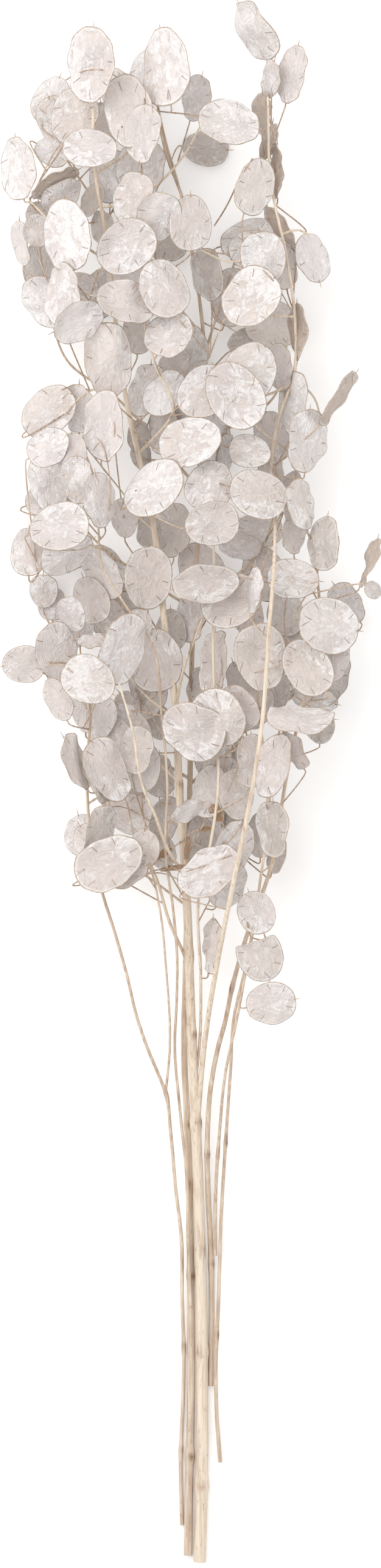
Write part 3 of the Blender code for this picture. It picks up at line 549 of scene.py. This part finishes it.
# Pearly pod membrane: reads each pod's own flat map and its tone
def podMaterial():
    made, tree = startMaterial("podMembrane")
    flat = nodeOf(tree, "ShaderNodeUVMap", {"uv_map": "podMap"}, {})
    split = nodeOf(tree, "ShaderNodeSeparateXYZ", {}, {0: flat}).socket.node
    across, along = Sock(tree, split.outputs[0]) * 2 - 1, Sock(tree, split.outputs[1]) * 2 - 1
    tone = nodeOf(tree, "ShaderNodeAttribute", {"attribute_name": "podTone"}, {}, 2)
    chance = nodeOf(tree, "ShaderNodeAttribute", {"attribute_name": "podChance"}, {}, 2)
    spot = nodeOf(tree, "ShaderNodeTexCoord", {}, {}, 3)
    reach = (across * across + along * along) ** 0.5
    turned = nodeOf(tree, "ShaderNodeMath", {"operation": "ARCTAN2"}, {0: across, 1: along})
    rim = reach.step(podFinish["rimStart"], podFinish["rimStart"] + 0.015)
    here = nodeOf(tree, "ShaderNodeCombineXYZ", {}, {0: across, 1: along * 0.8, 2: chance * 40})
    fine = nodeOf(tree, "ShaderNodeTexNoise", {}, {"Vector": spot, "Scale": 420.0, "Detail": 4.0})
    # Silvery crumpled patches over a warmer ground: partly the membrane's own silvery tone and partly
    # painted highlight, which lies mostly on one side of a pod
    side = chance * 37.0
    # Painted highlight: the patches lean towards one side of each pod
    highlightSide = across * side.math("SINE") + along * side.math("COSINE")
    patchy = nodeOf(tree, "ShaderNodeTexNoise", {}, {"Vector": here, "Scale": 2.6, "Detail": 8.0,
                                                     "Roughness": 0.66, "Distortion": 0.9})
    plain = (chance * 17.0).math("FRACT") * 0.17 - 0.085  # some pods are silvery all over, some hardly
    silver = (patchy + highlightSide * 0.11 - tone * 0.16 + plain).step(0.45, 0.565)
    # Sharp creases: long ones that wander, and a close net of small ones in the patches
    long = nodeOf(tree, "ShaderNodeTexNoise", {},
                  {"Vector": here, "Scale": 1.5, "Detail": 3.0, "Distortion": 2.4})
    small = nodeOf(tree, "ShaderNodeTexNoise", {},
                   {"Vector": here, "Scale": 4.2, "Detail": 4.0, "Distortion": 0.7})
    longFold = (long - 0.5).math("ABSOLUTE")
    smallFold = (small - 0.5).math("ABSOLUTE")
    warm = nodeOf(tree, "ShaderNodeValToRGB",
                  {"stops": ((0.0, podFinish["pale"]), (0.35, podFinish["beige"]), (0.65, podFinish["grey"]),
                             (0.84, podFinish["tan"]), (0.97, podFinish["brown"]))},
                  {0: tone + (small - 0.5) * 0.2})
    ripe = (chance * 29.0).math("FRACT").step(0.45, 0.9)  # some pods are warmer
    warm = mixColour(tree, ripe * (1 - tone) * 0.8, warm, podFinish["warm"])
    body = mixColour(tree, silver * (1 - tone * 0.7) * 0.6, warm, podFinish["silver"])
    # Painted shade: darker lines along the creases, where the folds sink
    body = mixColour(tree, (1 - longFold.step(0.0, 0.02)) * 0.2, body, podFinish["crease"])
    body = mixColour(tree, (1 - smallFold.step(0.0, 0.03)) * silver * 0.2, body, podFinish["crease"])
    # Painted highlight: pale lines beside the small creases, on the raised side
    body = mixColour(tree, small.step(0.54, 0.66) * 0.25, body, podFinish["silver"])
    border = reach.step(podFinish["borderStart"], podFinish["borderStart"] + 0.03) * 0.5
    body = mixColour(tree, border, body, podFinish["silver"])
    # Short dark threads that held the seeds: places round the pod, some of them empty
    turns = turned * (podFinish["threads"] / (2 * math.pi)) + chance * 7.0
    draw = nodeOf(tree, "ShaderNodeTexWhiteNoise", {"noise_dimensions": "1D"},
                  {"W": turns.math("FLOOR") + chance * 91.0})
    aim = turns.math("FRACT") - 0.5 + (draw - 0.5) * 0.5 + (reach - 0.8) * (draw - 0.4) * 1.8
    thread = 1 - (aim * reach).math("ABSOLUTE").step(0.008, 0.020)
    inside = (reach - draw * 0.16).step(0.54, 0.57)
    thread = thread * inside * (1 - (reach - draw * 0.16).step(0.80, 0.83)) * draw.step(0.2, 0.21)
    seedPlace = ((across - (chance * 51.0).math("SINE") * 0.5) ** 2
                 + (along - (chance * 83.0).math("SINE") * 0.5) ** 2)
    seed = (1 - seedPlace.step(0.0006, 0.0012)) * (chance * 7.3).math("FRACT").step(0.93, 0.94)
    edge = mixColour(tree, fine.step(0.35, 0.65), podFinish["rim"], podFinish["rimPale"])
    colour = mixColour(tree, rim * 0.9, body, edge)
    colour = mixColour(tree, thread * 0.9, colour, podFinish["mark"])
    colour = mixColour(tree, seed, colour, podFinish["seed"])
    ridged = 1 - smallFold.step(0.0, 0.13)
    height = longFold.step(0.0, 0.09) * 0.35 + ridged * 0.3 * silver + small * 0.8
    height = height + patchy * 0.8 + fine * 0.05
    bump = nodeOf(tree, "ShaderNodeBump", {}, {"Height": height, "Strength": podFinish["crinkle"],
                                               "Distance": podFinish["crinkleDepth"]})
    clear = podFinish["clear"] * (1 - silver * 0.6) * (1 - rim) * (1 - thread)
    finishMaterial(tree, {"Base Color": colour, "Alpha": 1 - clear, "Normal": bump,
                          "Roughness": podFinish["roughness"] + (1 - silver) * 0.2,
                          "Sheen Weight": 0.1, "Specular IOR Level": 0.4})
    return made


stemFinish = {"cream": (0.70, 0.60, 0.48), "tan": (0.47, 0.355, 0.265), "brown": (0.24, 0.155, 0.105),
              "fleck": (0.30, 0.19, 0.12), "roughness": 0.62}


# Dry stems: cream with long tan streaks and brown flecks, browner with age and with the painted shade each
# stem is given
def stemMaterial():
    made, tree = startMaterial("dryStem")
    spot = nodeOf(tree, "ShaderNodeTexCoord", {}, {}, 3)
    long = nodeOf(tree, "ShaderNodeMapping", {}, {"Vector": spot, "Scale": (1.0, 0.05, 1.0)})
    short = nodeOf(tree, "ShaderNodeMapping", {}, {"Vector": spot, "Scale": (1.0, 0.3, 1.0)})
    streak = nodeOf(tree, "ShaderNodeTexNoise", {}, {"Vector": long, "Scale": 900.0, "Detail": 4.0})
    patch = nodeOf(tree, "ShaderNodeTexNoise", {}, {"Vector": spot, "Scale": 28.0, "Detail": 4.0})
    speck = nodeOf(tree, "ShaderNodeTexNoise", {}, {"Vector": short, "Scale": 850.0, "Detail": 2.0})
    age = nodeOf(tree, "ShaderNodeAttribute", {"attribute_name": "stemAge"}, {}, 2)
    colour = nodeOf(tree, "ShaderNodeValToRGB",
                    {"stops": ((0.1, stemFinish["cream"]), (0.6, stemFinish["tan"]),
                               (1.0, stemFinish["brown"]))},
                    {0: age + (streak - 0.5) * 1.3 + (patch - 0.5) * 0.7})
    fleck = speck.step(0.62, 0.68) * patch.step(0.35, 0.6) * 0.55
    colour = mixColour(tree, fleck, colour, stemFinish["fleck"])
    bump = nodeOf(tree, "ShaderNodeBump", {}, {"Height": streak, "Strength": 0.6, "Distance": 0.0006})
    finishMaterial(tree, {"Base Color": colour, "Roughness": stemFinish["roughness"] + streak * 0.2,
                          "Normal": bump})
    return made


# Sizes in metres, for a pod of the usual half length; the rim's places are shares of the way out
podShape = {"around": 40, "rings": 22, "skin": 0.00012, "rim": 0.00030, "rimFrom": 0.93, "rimTop": 0.975,
            "usualHalf": 0.0165, "cup": 0.0018, "bend": 0.0012, "twist": 0.0009, "wave": 0.0015, "waves": 4,
            "pucker": 0.0006, "folds": 7, "crumple": 0.00045}


# One flat blank: a sphere pressed to a disc, membrane inside and a rim round it
def podBlank():
    bpy.ops.object.select_all(action="DESELECT")
    bpy.ops.mesh.primitive_uv_sphere_add(segments=podShape["around"], ring_count=podShape["rings"], radius=1)
    blank = bpy.context.object
    blank.name = "podBlank"
    bpy.ops.object.mode_set(mode="EDIT")
    bpy.ops.mesh.select_all(action="SELECT")
    bpy.ops.transform.resize(value=(1, 1, 0.02))
    bpy.ops.object.mode_set(mode="OBJECT")
    spots = np.empty(len(blank.data.vertices) * 3)
    blank.data.vertices.foreach_get("co", spots)
    spots = spots.reshape(-1, 3)
    side = np.sign(np.round(spots[:, 2], 5))
    reach = np.hypot(spots[:, 0], spots[:, 1])
    halfRings = podShape["rings"] // 2
    ring = np.round(np.arcsin(np.clip(reach, 0, 1)) / (math.pi / 2) * halfRings).astype(int)
    inner = np.linspace(0, podShape["rimFrom"], halfRings - 1)
    radii = np.r_[inner, podShape["rimTop"], 1.0]
    lifts = np.r_[np.full(halfRings - 1, podShape["skin"]), podShape["rim"], 0.0]
    angles = np.arctan2(spots[:, 0], -spots[:, 1])
    across, along = radii[ring] * np.sin(angles), -radii[ring] * np.cos(angles)
    return blank, np.column_stack([across, along, side * lifts[ring]])


# Where a point of the blank lies on a pod: its outline, cup, waves and puckered edge
def podSurface(pod, shaped, draw):
    u, v, lift = shaped.T
    reach = np.hypot(u, v)
    angles = np.arctan2(u, -v)
    outU, outV = podOutline(angles, pod)
    outU, outV = outU * reach, outV * reach
    halfLong = np.linalg.norm(pod["along"])
    size = halfLong / podShape["usualHalf"]
    cup = draw.uniform(-1, 1) * podShape["cup"] * size * (reach**2 - 0.4)
    bend = draw.uniform(-1, 1) * podShape["bend"] * size * (outV**2 - 0.3)
    twist = draw.uniform(-1, 1) * podShape["twist"] * size * outU * outV
    wave = 0
    for a in [draw.uniform(0, 3.2) for _ in range(podShape["waves"])]:
        share, often, start = draw.uniform(0.2, 0.5), draw.uniform(2.5, 6.5), draw.uniform(0, 6.3)
        wave = wave + share * np.sin(often * (outU * math.cos(a) + outV * math.sin(a)) + start)
    wave = wave * podShape["wave"] * size
    lobes = draw.randint(5, 9)
    pucker = podShape["pucker"] * size * np.sin(lobes * angles + draw.uniform(0, 6.3)) * reach**4
    folds = 0
    for _ in range(podShape["folds"]):  # sharp straight creases
        a, off = draw.uniform(0, 6.3), draw.uniform(-0.6, 0.6)
        beyond = outU * math.cos(a) + outV * math.sin(a) - off
        folds = folds + draw.uniform(-1, 1) * podShape["crumple"] * size * np.abs(beyond)
    ends = np.exp(-((outU / 0.25) ** 2)) * np.clip(-outV - 0.6, 0, 1)  # stays put where the stalk joins
    height = (cup + bend + twist + wave + pucker + folds) * (1 - 2.2 * ends).clip(0, 1)
    normal = np.cross(pod["across"], pod["along"])
    normal /= np.linalg.norm(normal)
    spots = (pod["middle"] + outU[:, None] * pod["across"] + outV[:, None] * pod["along"]
             + (height + lift)[:, None] * normal)
    spots[:, 2] = np.maximum(spots[:, 2], 0.0)
    return spots


def podPiece(name, owned, material):
    blank, shaped = podBlank()
    copies = []
    for k, pod in enumerate(owned):
        draw = random.Random(k * 31 + len(owned))
        copy = bpy.data.objects.new("podCopy", blank.data.copy())
        bpy.context.scene.collection.objects.link(copy)
        copy.data.vertices.foreach_set("co", podSurface(pod, shaped, draw).ravel())
        flat = copy.data.uv_layers[0]
        flat.name = "podMap"
        corners = np.empty(len(copy.data.loops), dtype=int)
        copy.data.loops.foreach_get("vertex_index", corners)
        flat.data.foreach_set("uv", (shaped[corners, :2] / 2 + 0.5).ravel())
        for label, value in (("podTone", pod["tone"]), ("podChance", draw.random())):
            made = copy.data.attributes.new(label, "FLOAT", "POINT")
            made.data.foreach_set("value", np.full(len(shaped), value))
        copies.append(copy)
    bpy.data.objects.remove(blank)
    bpy.ops.object.select_all(action="DESELECT")
    for copy in copies:
        copy.select_set(True)
    bpy.context.view_layer.objects.active = copies[0]
    bpy.ops.object.join()
    piece = bpy.context.object
    piece.name = name
    piece.data.name = name
    piece.data.materials.clear()
    piece.data.materials.append(material)
    bpy.ops.object.shade_smooth()
    return piece


# Sizes in metres, the stalk and the beak by their radius; scarAside is in pixels of the photograph
woodShape = {"step": 0.003, "stalk": 0.00038, "beak": (0.00030, 0.00022, 0.0001), "beakLong": 0.0028,
             "swellReach": 0.0035, "scarReach": 0.0019, "scarAside": 5, "twigLift": 0.001,
             "woodSides": 14, "stalkSides": 8, "smoothAngle": 50}


# A curve object with one run of points for each line, as a mesh
def tubes(name, lines, sides):
    curve = bpy.data.curves.new(name, "CURVE")
    curve.dimensions = "3D"
    curve.bevel_depth = 1.0
    curve.bevel_resolution = (sides - 4) // 2
    curve.use_fill_caps = True
    for points, radii in lines:
        spline = curve.splines.new("POLY")
        spline.points.add(len(points) - 1)
        for spot, point, radius in zip(spline.points, points, radii):
            spot.co = (*point, 1)
            spot.radius = radius
    made = bpy.data.objects.new(name, curve)
    bpy.context.scene.collection.objects.link(made)
    bpy.ops.object.select_all(action="DESELECT")
    made.select_set(True)
    bpy.context.view_layer.objects.active = made
    bpy.ops.object.convert(target="MESH")
    bpy.ops.object.mode_set(mode="EDIT")
    bpy.ops.mesh.select_all(action="SELECT")
    bpy.ops.mesh.remove_doubles(threshold=0.000001)
    bpy.ops.mesh.normals_make_consistent(inside=False)
    bpy.ops.object.mode_set(mode="OBJECT")
    return bpy.context.object


# A bent line with its corners cut twice, so that it runs round
def rounded(corners):
    corners = np.array(corners)
    for _ in range(2):
        cut = [corners[0]]
        for a, b in zip(corners, corners[1:]):
            cut += [a * 0.75 + b * 0.25, a * 0.25 + b * 0.75]
        corners = np.array(cut + [corners[-1]])
    return corners


# Loose twigs that lie over the pods: thickness in mm, then the route in the photograph
twigs = ((0.7, (108, 127), (128, 121), (150, 117), (172, 118), (193, 123)),
         (1.3, (258, 170), (266, 205), (276, 245), (289, 285), (298, 326)),
         (0.8, (352, 368), (374, 334), (392, 298), (415, 262)),
         (0.7, (441, 245), (454, 285), (452, 328)),
         (0.7, (188, 695), (190, 745), (196, 800), (203, 850)),
         (0.6, (160, 720), (172, 735), (184, 800), (180, 840)),
         (0.5, (385, 1094), (430, 1078), (464, 1100)), (0.5, (398, 1112), (436, 1100), (474, 1092)),
         (0.6, (305, 1432), (340, 1421), (380, 1404)), (0.6, (232, 1404), (262, 1412), (296, 1432)),
         (0.6, (226, 1440), (262, 1432), (292, 1444)), (0.6, (170, 1330), (200, 1322), (246, 1348)),
         (0.5, (375, 1300), (391, 1262), (400, 1200)), (0.6, (268, 1208), (240, 1160), (222, 1130)),
         (0.5, (355, 1142), (366, 1100), (360, 1060)), (0.6, (470, 985), (466, 1030), (476, 1075)),
         (0.6, (392, 545), (352, 520), (345, 470)), (0.5, (100, 640), (124, 630), (148, 640)),
         (0.5, (88, 905), (130, 906), (152, 896)), (0.6, (432, 445), (455, 470), (478, 505)))


# The top of the pods at a place in the photograph, in metres
def topAt(x, y):
    highest = 0.02  # where no pod lies
    for pod in order:
        u, v = np.linalg.solve(np.column_stack([pod["across"][:2], pod["along"][:2]]),
                               place(x, y)[:2] - pod["middle"][:2])
        if u * u + v * v < 1.1:
            highest = max(highest, pod["middle"][2] + u * pod["across"][2] + v * pod["along"][2])
    return highest


def woodPiece(name, node, owned, material):
    wood = []
    for key, (owner, parent, thick, thin, sides, heights, route) in branches.items():
        if owner != node:
            continue
        fine = smoothRoute(route, heights, woodShape["step"])
        if parent:
            fine[0] = runs[key][0]
        radii = np.linspace(thick, thin, len(fine)) / 2000  # from mm across to a radius in metres
        if key in knots:
            for x, y, swell in knots[key]:
                off = np.linalg.norm(fine[:, :2] - place(x, y)[:2], axis=1)
                radii = radii + 0.6 * swell / 1000 * np.exp(-((off / woodShape["swellReach"]) ** 2))
        wood.append((fine, radii))
    stalkLines = []
    for pod in owned:
        line = rounded([pod["middle"] - 0.96 * pod["along"], *pod["stalk"][1:]])
        radii = np.full(len(line), woodShape["stalk"])
        radii[:2] *= 1.25  # thicker where it meets the pod
        stalkLines.append((line, radii))
        way = pod["along"] / np.linalg.norm(pod["along"])
        tip = pod["middle"] + pod["along"]
        beak = np.array([tip - way * 0.0012, tip + way * 0.0008, tip + way * woodShape["beakLong"]])
        stalkLines.append((beak, woodShape["beak"]))
    if node == "main_stem":
        for thick, *route in twigs:
            line = rounded([place(x, y, topAt(x, y) + woodShape["twigLift"]) for x, y in route])
            stalkLines.append((line, np.full(len(line), thick / 2000)))
    thickPart = tubes(name, wood, woodShape["woodSides"])
    thinPart = tubes(name + "Stalks", stalkLines, woodShape["stalkSides"])
    scars = []  # on one side of the stem, now the left and now the right
    for key in knots:
        if branches[key][0] == node:
            for x, y, swell in knots[key]:
                scars.append(place(x + woodShape["scarAside"] * (-1) ** (y % 2), y)[:2])
    for part, age in ((thickPart, stemAgesAndShade.get(node, stemAgesAndShade["others"])), (thinPart, stemAgesAndShade["stalks"])):
        spots = np.empty(len(part.data.vertices) * 3)
        part.data.vertices.foreach_get("co", spots)
        spots[2::3] = np.maximum(spots[2::3], 0.0)
        part.data.vertices.foreach_set("co", spots)
        ages = np.full(len(part.data.vertices), age)
        for scar in scars:  # browner at each scar
            off = np.linalg.norm(spots.reshape(-1, 3)[:, :2] - scar, axis=1)
            ages += 0.6 * np.exp(-((off / woodShape["scarReach"]) ** 2))
        made = part.data.attributes.new("stemAge", "FLOAT", "POINT")
        made.data.foreach_set("value", ages)
    bpy.ops.object.select_all(action="DESELECT")
    thickPart.select_set(True)
    thinPart.select_set(True)
    bpy.context.view_layer.objects.active = thickPart
    bpy.ops.object.join()
    piece = bpy.context.object
    piece.name = name
    piece.data.name = name
    piece.data.materials.clear()
    piece.data.materials.append(material)
    bpy.ops.object.shade_smooth_by_angle(angle=math.radians(woodShape["smoothAngle"]))
    return piece


# Swellings where side stems and leaves grew: place in the photograph, and how far they stand out in mm
knots = {"main": ((325, 1848, 1.4), (305, 1571, 1.1), (334, 2447, 1.3), (316, 1702, 0.6), (330, 2225, 1.0),
                  (331, 2060, 0.4), (292, 1290, 0.8)),
         "second": ((313, 2100, 0.7), (308, 1850, 0.6), (305, 1952, 0.8), (310, 2400, 1.2)),
         "left": ((273, 1800, 0.8), (298, 2390, 0.5), (301, 2220, 0.6)),
         "rightOuter": ((341, 1900, 0.5), (382, 1621, 0.4), (347, 2080, 0.5)),
         "right": ((371, 1880, 0.5), (357, 2200, 0.5)), "rightShort": ((358, 1900, 0.4),)}

# How brown each stem is, from 0 to 1: partly the stems' own browning, partly painted light, the stems lying
# high a little darker and the main stem, which the pods shade, a little lighter
stemAgesAndShade = {"main_stem": 0.2, "others": 0.46, "stalks": 0.66}

runs = branchRuns()
order = layOut(runs)
stalks(order, runs)

# Pods past what the solids hold: place, length, width and turn in the photograph, then tone
fillers = {
    "behind": (
        (165, 205, 80, 60, 0, 0.4), (62, 352, 50, 40, 0, 0.4), (225, 545, 70, 50, 0, 0.5),
        (228, 715, 55, 40, 0, 0.62), (245, 870, 60, 40, 0, 0.62), (285, 870, 90, 60, 0, 0.3),
        (395, 895, 70, 45, 100, 0.3), (470, 1005, 80, 60, 0, 0.5), (280, 1035, 70, 50, 0, 0.6),
        (315, 1010, 90, 45, 0, 0.3), (245, 1150, 70, 50, 30, 0.3), (262, 1185, 60, 45, -20, 0.5),
        (230, 1120, 60, 40, 0, 0.4), (455, 1140, 70, 45, 20, 0.5), (262, 1275, 70, 50, 0, 0.5),
        (270, 1345, 75, 50, 20, 0.5), (265, 1398, 60, 45, -20, 0.62), (352, 1235, 95, 65, 0, 0.3),
        (385, 1240, 70, 50, 0, 0.4), (455, 1405, 62, 30, 15, 0.6), (428, 1372, 75, 48, 0, 0.3),
        (150, 325, 60, 34, 20, 0.7), (170, 372, 60, 40, -10, 0.62), (285, 600, 70, 50, 30, 0.5),
        (445, 770, 70, 45, 0, 0.7), (480, 800, 60, 34, 20, 0.6), (232, 745, 50, 34, -20, 0.62),
        (330, 1130, 70, 46, 10, 0.5), (395, 1120, 70, 44, -20, 0.6), (480, 1060, 70, 50, 10, 0.5),
        (130, 1035, 60, 44, 30, 0.4), (215, 1160, 60, 40, -40, 0.4), (190, 1300, 70, 50, 20, 0.5),
        (318, 1415, 60, 36, 20, 0.7), (410, 1010, 70, 50, 0, 0.5)),
    "scraps": (
        (356, 1336, 34, 20, -30, 1.0), (338, 1362, 24, 9, 80, 1.0), (309, 1393, 42, 8, 4, 1.0),
        (268, 1402, 34, 12, 60, 1.0), (283, 1425, 44, 8, 80, 1.0)),
    "front": ((310, 1332, 54, 30, 62, 0.1),)}
fillHeight = {"behind": 0.0, "scraps": 0.022, "front": 0.03}  # over the lowest pods, in metres
fillDraw = random.Random(5)
added = []
for where, entries in fillers.items():
    for *entry, tone in entries:
        signs = fillDraw.choice((-1, 1)), fillDraw.choice((-1, 1))
        slack = math.radians(fillDraw.uniform(4, 20)), math.radians(fillDraw.uniform(2, 15))
        pod = podLie(entry, "back", slack, signs)
        pod.update(node="second_stem", layer="back", sides=podSides, entry=tuple(entry), tone=tone)
        pod["middle"][2] = fillDraw.uniform(0.016, 0.026) + fillHeight[where]
        added.append(pod)
stalks(added, runs)

# How aged each pod looks, with painted light added by layer: 0 silvery, 0.35 beige, 0.65 grey, 0.84 tan, 1
# brown
# Painted light: pods at the back are painted lighter and those in front darker, standing in for the light
# the membranes let through to the pods behind
layerTonesWithPaintedLight = {"back": (0.0, 0.3), "mid": (0.05, 0.4), "front": (0.15, 0.5)}
greyTone, tanTone = 0.62, 0.84
headLong = 1440  # pixels of the photograph down to the lowest pods of the head
toneDraw = random.Random(3)
for pod in order:
    lower = pod["entry"][1] / headLong - 0.6  # the pods lower down are warmer
    pod["tone"] = max(toneDraw.uniform(*layerTonesWithPaintedLight[pod["layer"]]) + 0.22 * lower, 0.0)
    if pod["entry"] in greyPods:
        pod["tone"] = greyTone
    if pod["entry"] in tanPods:
        pod["tone"] = tanTone
order += added
print("pods laid out:", len(order))

podSkin, stemSkin = podMaterial(), stemMaterial()
for node in frame["nodes"]:
    owned = [pod for pod in order if pod["node"] == node]
    words = node.split("_")
    stem = words[0] + "".join(w.capitalize() for w in words[1:])
    wood = woodPiece(stem + "Wood", node, owned, stemSkin)
    podsPiece = podPiece(stem + "Pods", owned, podSkin)
    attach(wood, "root")
    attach(podsPiece, "root")
    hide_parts(node)
    print(stem, "done:", len(owned), "pods")

studio = {"floorColour": (0.85, 0.845, 0.838), "floorGlow": 0.2, "floorDown": 0.0005, "sky": 1.05,
          "key": 39.0, "keySize": 2.4, "cameraAway": 8.0}

bpy.ops.mesh.primitive_plane_add(size=12, location=(0, 0, -studio["floorDown"]))
floor = bpy.context.object
floor.name = "floor"
paper, tree = startMaterial("palePaper")
finishMaterial(tree, {"Base Color": studio["floorColour"], "Roughness": 0.9,
                      "Emission Color": (1.0, 1.0, 1.0), "Emission Strength": studio["floorGlow"]})
floor.data.materials.append(paper)

world = bpy.data.worlds.new("studio")
bpy.context.scene.world = world
world.use_nodes = True
world.node_tree.nodes["Background"].inputs["Color"].default_value = (1, 1, 1, 1)
world.node_tree.nodes["Background"].inputs["Strength"].default_value = studio["sky"]

bpy.ops.object.light_add(type="AREA", location=(-1.2, 1.0, 2.2))
keyLight = bpy.context.object
keyLight.name = "keyLight"
keyLight.data.energy = studio["key"]
keyLight.data.size = studio["keySize"]
keyLight.rotation_euler = (math.radians(-24), math.radians(-29), 0)

lens = bpy.data.cameras.new("camera")
camera = bpy.data.objects.new("camera", lens)
bpy.context.scene.collection.objects.link(camera)
camera.location = (0, 0, 0.05 + studio["cameraAway"])  # sees true size at half the bunch's depth
lens.sensor_fit = "AUTO"
lens.sensor_width = 36.0
lens.lens = lens.sensor_width * studio["cameraAway"] / bunchLength
lens.clip_end = 50
bpy.context.scene.camera = camera
bpy.context.scene.view_settings.view_transform = "Standard"
